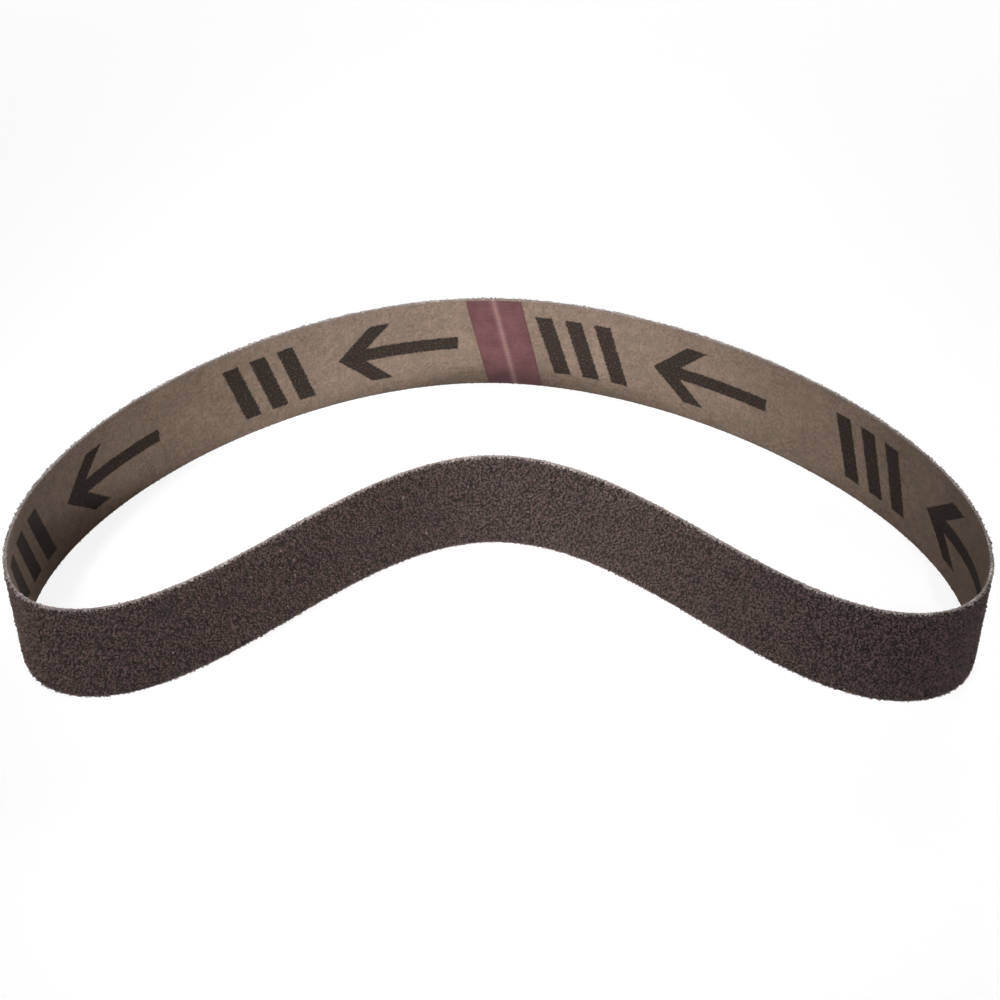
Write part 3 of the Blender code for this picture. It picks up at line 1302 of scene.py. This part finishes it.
@dataclass
class AbrasiveCoat:
    """The abrasive coat: a lumpy bed of resin, and the grains that stand in it.

    Attributes:
        belt: The belt that it is part of.
        bed_columns: Sections along the bed.
        bed_rows: Steps up the bed's face.
        bed_depth: Thickness of the bed.
        bed_relief: How far the bed's face wanders in and out.
        spacing: Distance between two grains.
        grain: Mean size of a grain (along, out, up).
        seat: How far out of the bed's back a grain's centre lies.
        clump: Distance between two clumps of grains.
        clump_relief: How far a usual clump stands out.
        pit_level: Height in the clump field under which no grain sticks.
        lost_share: Share of the other places where a grain is missing.
        stand: How far a light grain stands out past a mean one.
        edge_margin: How far the bed stays inside the slit edges.
        slit_margin: How far inside the slit edges the blade broke the outermost grains.
        sections: Pieces that the grains are split into.
        shapes: Different grain shapes.
        corners: Corners of a grain.
        fold: Rows that the bed is folded into on its bake map.
        bed_seed: Start of the random draws for the bed.
        grain_seed: Start of the random draws for the grains.
    """

    belt: Belt
    bed_columns: int = 560
    bed_rows: int = 26
    bed_depth: float = 0.00008
    bed_relief: float = 0.00003
    spacing: float = 0.00045
    grain: tuple[float, float, float] = (0.00046, 0.00058, 0.00046)
    seat: float = 0.00012
    clump: float = 0.0011
    clump_relief: float = 0.000012
    pit_level: float = -1.9
    lost_share: float = 0.25
    stand: float = 0.00005
    edge_margin: float = 0.00012
    slit_margin: float = 0.00003
    sections: int = 4
    shapes: int = 40
    corners: int = 7
    fold: int = 3
    bed_seed: int = 41
    grain_seed: int = 43

    @property
    def back(self) -> float:
        """How far out the back of the coat lies."""
        return self.belt.cloth + self.belt.bond

    def build_bed(self, effects: Effects) -> bpy.types.Object:
        """Builds the bed in place of the frame's coat.

        Args:
            effects: The shared node groups.

        Returns:
            The bed.
        """
        rng = np.random.default_rng(self.bed_seed)
        belt = self.belt
        low, high = self.edge_margin, belt.width - self.edge_margin
        face = [(self.back + self.bed_depth, up) for up in np.linspace(low, high, self.bed_rows)]
        rear = [(self.back, up) for up in np.linspace(high, low, 3)]
        section = np.array(face + rear)
        relief = np.zeros((self.bed_columns, len(section), 3))
        wander = rng.uniform(-1.0, 1.0, (self.bed_columns, self.bed_rows))
        relief[:, :self.bed_rows, 1] = wander * self.bed_relief
        sweep = Sweep(belt.seam_gap, belt.length - belt.seam_gap, self.bed_columns, self.fold)
        piece = build_piece("resin_bed", belt, sweep.parts(belt, section, relief),
                            BedFinish().material(effects))
        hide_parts("abrasive_coat")
        return piece

    def _grain_template(self, rng: np.random.Generator) -> Template:
        """Breaks a crystal: the hull of a few spread points near a ball, laid out from both sides.

        Args:
            rng: Source of the draws.

        Returns:
            The grain, about one unit across.
        """
        rounds, push, scatter_share, half_map = 30, 0.05, 0.16, 0.48
        points = rng.normal(0.0, 1.0, (self.corners, 3))
        for _ in range(rounds):
            apart = points[:, None] - points[None]
            distance = np.linalg.norm(apart, axis=-1, keepdims=True) + np.eye(self.corners)[..., None]
            points = points + (apart / distance ** 3).sum(axis=1) * push
            points /= np.linalg.norm(points, axis=1)[:, None]
        points = (points + rng.normal(0.0, scatter_share, (self.corners, 3))) / 2
        hull = bmesh.new()
        for point in points:
            hull.verts.new(point)
        bmesh.ops.convex_hull(hull, input=hull.verts[:])
        bmesh.ops.triangulate(hull, faces=hull.faces[:])
        bmesh.ops.recalc_face_normals(hull, faces=hull.faces[:])
        hull.verts.index_update()
        corners = np.array([vertex.co for vertex in hull.verts])
        faces = np.array([[vertex.index for vertex in face.verts] for face in hull.faces])
        outside = np.array([face.normal.y > 0 for face in hull.faces])
        hull.free()
        flat = corners[:, [0, 2]]
        flat = (flat - flat.min(axis=0)) / np.ptp(flat, axis=0)
        shift = np.where(outside, 0.0, 1 - half_map)[:, None, None]
        layout = flat[faces] * (half_map, 1.0) + shift * (1.0, 0.0)
        return Template(corners, faces, layout)

    def _templates(self, rng: np.random.Generator) -> list[Template]:
        """Breaks grains until enough have all their corners on the outside.

        Args:
            rng: Source of the draws.

        Returns:
            Grain shapes with the same number of corners and faces.
        """
        templates = []
        while len(templates) < self.shapes:
            template = self._grain_template(rng)
            full = len(template.corners) == self.corners
            if full and len(template.faces) == 2 * self.corners - 4:
                templates.append(template)
        return templates

    def _grain_places(self, rng: np.random.Generator,
                      clumps: ClumpField) -> tuple[np.ndarray, np.ndarray]:
        """Seats grains on a loosened grid of staggered rows, clear of pits, seam and slit edges.

        Args:
            rng: Source of the draws.
            clumps: The field that lifts and thins the grains.

        Returns:
            The centres' belt places, and the tone of each grain.
        """
        jitter, broken_rim, pit_blur = 0.28, 0.00028, 0.25
        mean_tone, tone_spread, painted_clump_shade, lightest, painted_glint_share = 0.70, 0.37, 0.015, 0.88, 0.003
        belt = self.belt
        columns = round(belt.length / self.spacing)
        rows = round(belt.width / (self.spacing * math.sqrt(0.75)))
        column, row = np.meshgrid(np.arange(columns), np.arange(rows), indexing="ij")
        along = column + (row % 2) / 2 + rng.uniform(-jitter, jitter, column.shape)
        up = row + 0.5 + rng.uniform(-jitter, jitter, column.shape)
        shade, hold = (neighbour_noise(rng, column.shape).ravel() for _ in range(2))
        along, up = (along * belt.length / columns).ravel(), (up * belt.width / rows).ravel()
        height = clumps.at(along, up)
        out = self.back + self.seat + height * self.clump_relief + shade * self.stand
        from_edge = np.minimum(up, belt.width - up)
        kept = from_edge > self.edge_margin + rng.uniform(0.0, broken_rim, along.shape)
        kept &= np.abs(belt.from_seam(along, up)) > belt.seam_gap / 2 + self.grain[0] / 2
        kept &= height > self.pit_level + rng.normal(0.0, pit_blur, along.shape)
        kept &= hold > np.quantile(hold, self.lost_share)
        # Besides the random tone, the clump height lightens grains that stand out in clumps and darkens
        # those sunk near pits: painted light and shade.
        tones = np.clip(mean_tone + tone_spread * shade + height * painted_clump_shade, 0.0, lightest)
        # A few grains get the top tone, which the finish paints as a glint: painted highlight.
        tones[rng.uniform(0.0, 1.0, along.shape) < painted_glint_share] = 1.0
        return np.stack([along, out, up], axis=-1)[kept], tones[kept]

    def build_grains(self, effects: Effects) -> list[bpy.types.Object]:
        """Builds the grains.

        Args:
            effects: The shared node groups.

        Returns:
            One piece for each section of the belt.
        """
        size_spread, least_side, greatest_side = 0.2, 0.8, 1.2
        turn_spread = (0.6, math.pi, 0.6)
        rng = np.random.default_rng(self.grain_seed)
        belt = self.belt
        templates = self._templates(rng)
        centres, tones = self._grain_places(rng, ClumpField(belt, rng, self.clump))
        count = len(centres)
        sizes = np.array(self.grain) * np.exp(rng.normal(0.0, size_spread, (count, 1)))
        sizes = sizes * rng.uniform(least_side, greatest_side, (count, 3))
        turns = turn_matrices(rng.normal(0.0, 1.0, (count, 3)) * turn_spread)
        picks = rng.integers(0, len(templates), count)
        material = GrainFinish().material(effects)
        section = (np.mod(centres[:, 0], belt.length) / belt.length * self.sections).astype(int)
        pieces = []
        for number in range(self.sections):
            chosen = section == number
            parts = scatter(templates, picks[chosen], centres[chosen], sizes[chosen],
                            turns[chosen], tones[chosen])
            up = parts.spots[:, 2]
            np.clip(up, self.slit_margin, belt.width - self.slit_margin, out=up)
            name = f"grit_section_{number + 1}"
            pieces.append(build_piece(name, belt, parts, material, smooth=False))
        return pieces


@dataclass
class SpliceTape:
    """The film tape over the seam, on the inner face, with its reinforcing threads.

    Attributes:
        belt: The belt that it is part of.
        length: Length along the belt.
        thickness: Thickness of the film.
        glue: Gap between film and cloth.
        edge_margin: How far it stays inside the slit edges.
        columns: Sections along the tape.
        rows: Steps up its free face.
        thread_pitch: Distance between two reinforcing threads.
        thread_relief: How far a thread stands out of the film.
        thread_sharpness: How much narrower a thread is than the hollow beside it.
        wrinkles: Wrinkles over the width of the belt.
        wrinkle_share: Their height, as a share of a thread's.
        seam_band: Half the width of the pale line over the slit.
        seam_sink: How far the film sinks over the slit, as a share of its thickness.
        rim: Distance over which the film thins towards its two ends.
        rim_rest: What is left of it there, as a share.
        raggedness: How far the two ends wander along the belt.
        seed: Start of the random draws.
    """

    belt: Belt
    length: float = 0.013
    thickness: float = 0.00012
    glue: float = 0.00002
    edge_margin: float = 0.0003
    columns: int = 90
    rows: int = 200
    thread_pitch: float = 0.0011
    thread_relief: float = 0.00004
    thread_sharpness: int = 6
    wrinkles: int = 14
    wrinkle_share: float = 0.4
    seam_band: float = 0.0009
    seam_sink: float = 0.35
    rim: float = 0.0004
    rim_rest: float = 0.15
    raggedness: float = 0.00005
    seed: int = 53

    def build(self, effects: Effects) -> bpy.types.Object:
        """Builds the tape in place of the frame's tape.

        Args:
            effects: The shared node groups.

        Returns:
            The tape.
        """
        pale_band, palest = 0.7, (0.5, 0.9)
        rng = np.random.default_rng(self.seed)
        belt = self.belt
        half = self.length / 2
        low, high = self.edge_margin, belt.width - self.edge_margin
        back = [(-self.glue, up) for up in np.linspace(low, high, 5)]
        face = [(-self.glue - self.thickness, up) for up in np.linspace(high, low, self.rows)]
        section = np.array(back + face)
        run = np.linspace(-half, half, self.columns)
        up = section[len(back):, 1]
        thread = np.abs(np.cos(np.pi * up / self.thread_pitch)) ** self.thread_sharpness
        wrinkle = smooth_noise(rng, self.rows, self.wrinkles) * self.wrinkle_share
        slit = np.exp(-(run / self.seam_band) ** 2)
        rim = np.clip((half - np.abs(run)) / self.rim, self.rim_rest, 1.0)[:, None]
        relief = np.zeros((self.columns, len(section), 3))
        lift = thread[None] * self.thread_relief + wrinkle[None] * self.thread_relief
        lift = lift - slit[:, None] * self.thickness * self.seam_sink
        relief[:, len(back):, 1] = self.thickness * (1 - rim) - lift * rim
        ragged = rng.uniform(-self.raggedness, self.raggedness, (self.columns, len(section)))
        relief[:, :, 0] = ragged * (rim < 1.0)
        tone = np.zeros((self.columns, len(section)))
        pale = np.exp(-(run / (self.seam_band * pale_band)) ** 2)[:, None]
        tone[:, len(back):] = pale * rng.uniform(*palest, self.rows)
        sweep = Sweep(-half, half, self.columns, fold=1)
        piece = build_piece("seam_tape", belt, sweep.parts(belt, section, relief, tone),
                            TapeFinish().material(effects))
        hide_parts("splice_tape")
        return piece


@dataclass(frozen=True)
class Softbox:
    """A rectangular lamp.

    Attributes:
        name: Name of the lamp.
        place: Where it stands.
        target: What it faces.
        size: Its width and height.
        power: Its power in watts.
        spread: Angle that its grid lets out, in degrees. A bare softbox lets out all of 180.
    """

    name: str
    place: tuple[float, float, float]
    target: tuple[float, float, float]
    size: tuple[float, float]
    power: float
    spread: float = 180.0

    def build(self) -> None:
        """Adds the lamp."""
        data = bpy.data.lights.new(self.name, "AREA")
        data.shape = "RECTANGLE"
        data.size, data.size_y = self.size
        data.energy = self.power
        data.spread = math.radians(self.spread)
        lamp = add_object(self.name, data)
        lamp.location = self.place
        way = Vector(self.target) - Vector(self.place)
        lamp.rotation_euler = way.to_track_quat("-Z", "Y").to_euler()


@dataclass
class Studio:
    """The pale floor, the sky and the lamps.

    Attributes:
        floor_size: Side of the floor.
        floor_colour: Colour of the floor, for the light that it sends on.
        floor_seen: Colour of the floor, as the camera sees it.
        floor_lift: How far the camera sees the floor lifted towards white, with its shadows kept soft.
        floor_fade: Distances from the belt's middle at which its fade to plain white starts and ends.
        sky: Strength of the even light from all round.
        lamps: The softboxes.
    """

    floor_size: float = 6.0
    floor_colour: tuple[float, ...] = (0.36, 0.36, 0.36, 1.0)
    floor_seen: tuple[float, ...] = (0.20, 0.20, 0.20, 1.0)
    floor_lift: float = 0.85
    floor_fade: tuple[float, float] = (0.15, 0.5)
    sky: float = 0.05
    lamps: tuple[Softbox, ...] = (
        Softbox("rear_softbox", (0.25, 0.8, 0.5), (0.0, 0.0, 0.0), (0.5, 0.4), 6.0),
        Softbox("high_front_softbox", (-0.1, -0.65, 1.0), (0.0, 0.0, 0.0), (0.5, 0.4), 2.3),
        Softbox("gridded_front_softbox", (-0.05, -0.65, 0.25), (-0.014, 0.0, 0.012), (0.15, 0.15),
                0.062, 12.0),
        Softbox("gridded_left_softbox", (-0.35, -0.2, 0.8), (-0.03, 0.0, 0.012), (0.15, 0.15),
                0.069, 16.0),
        Softbox("gridded_right_softbox", (0.3, -0.4, 0.95), (0.08, -0.05, 0.012), (0.15, 0.15),
                0.027, 9.0),
    )

    def _floor(self) -> None:
        """Lays the floor, a plain sheet just under the belt."""
        side = self.floor_size / 2
        mesh = bpy.data.meshes.new("floor")
        corners = [(-side, -side, 0), (side, -side, 0), (side, side, 0), (-side, side, 0)]
        mesh.from_pydata(corners, [], [(0, 1, 2, 3)])
        material = bpy.data.materials.new("floor_paper")
        material.use_nodes = True
        sheet = NodeSheet(material.node_tree)
        seen = sheet.add("ShaderNodeLightPath").outputs["Is Camera Ray"]
        place = sheet.add("ShaderNodeNewGeometry").outputs["Position"]
        away = sheet.fade(sheet.length(place), *self.floor_fade)
        paper = sheet.blend(away, self.floor_seen, BLACK)
        lift = sheet.fade(away, low=self.floor_lift)
        shader = material.node_tree.nodes["Principled BSDF"]
        sheet.fill(shader, {"Base Color": sheet.blend(seen, self.floor_colour, paper), "Roughness": 1.0,
                            "Specular IOR Level": 0.0, "Emission Color": WHITE,
                            "Emission Strength": sheet.maths("MULTIPLY", seen, lift)})
        mesh.materials.append(material)
        floor = add_object("floor", mesh)

    def _sky(self) -> None:
        """Adds the even light from all round, which the camera sees as white."""
        world = bpy.data.worlds.new("studio_sky")
        bpy.context.scene.world = world
        world.use_nodes = True
        sheet = NodeSheet(world.node_tree)
        seen = sheet.add("ShaderNodeLightPath").outputs["Is Camera Ray"]
        strength = sheet.fade(seen, low=self.sky)
        sheet.fill(world.node_tree.nodes["Background"], {"Color": WHITE, "Strength": strength})

    def build(self) -> None:
        """Adds the floor, the sky and the lamps."""
        self._floor()
        self._sky()
        for lamp in self.lamps:
            lamp.build()


@dataclass(frozen=True)
class Viewpoint:
    """The camera, in front of the belt and looking down on it.

    Attributes:
        place: Where it stands.
        dip: How far it looks down from the level, in degrees.
        roll: Its turn about its own line of sight, in degrees.
        focal_pixels: Focal length in pixels of the square image.
        image_pixels: Side of the image.
        sensor: Width of the sensor, in millimetres.
        clip_start: Distance from which it sees.
    """

    place: tuple[float, float, float] = (0.000744, -0.336965, 0.3122)
    dip: float = 42.0
    roll: float = -0.4447
    focal_pixels: float = 2064.5
    image_pixels: int = 1000
    sensor: float = 36.0
    clip_start: float = 0.01

    def build(self) -> None:
        """Adds the camera and makes it the scene's own."""
        data = bpy.data.cameras.new("camera")
        data.sensor_width = self.sensor
        data.lens = self.focal_pixels * self.sensor / self.image_pixels
        data.clip_start = self.clip_start
        camera = add_object("camera", data)
        tilt = Matrix.Rotation(math.radians(90.0 - self.dip), 4, "X")
        roll = Matrix.Rotation(math.radians(self.roll), 4, "Z")
        camera.matrix_world = Matrix.Translation(self.place) @ tilt @ roll
        bpy.context.scene.camera = camera


def main() -> None:
    """Builds the studio and every piece of the belt."""
    logging.basicConfig(level=logging.INFO, format="%(name)s %(message)s")
    bpy.context.scene.view_settings.view_transform = "Standard"
    Viewpoint().build()
    Studio().build()
    belt = Belt()
    effects = Effects()
    cloth = ClothStrip(belt).build(effects)
    yarn = CutYarnFinish().material(effects)
    frayed = [piece for edge in SlitEdge for piece in YarnEnds(belt, edge).build(yarn)]
    coat = AbrasiveCoat(belt)
    coated = [coat.build_bed(effects)] + coat.build_grains(effects)
    tape = SpliceTape(belt).build(effects)
    for piece in (cloth, *frayed, *coated, tape):
        faces, finish = len(piece.data.polygons), piece.data.materials[0]
        LOG.info("%s: %d faces, finish %s", piece.name, faces, finish.name)


if __name__ == "__main__":
    main()
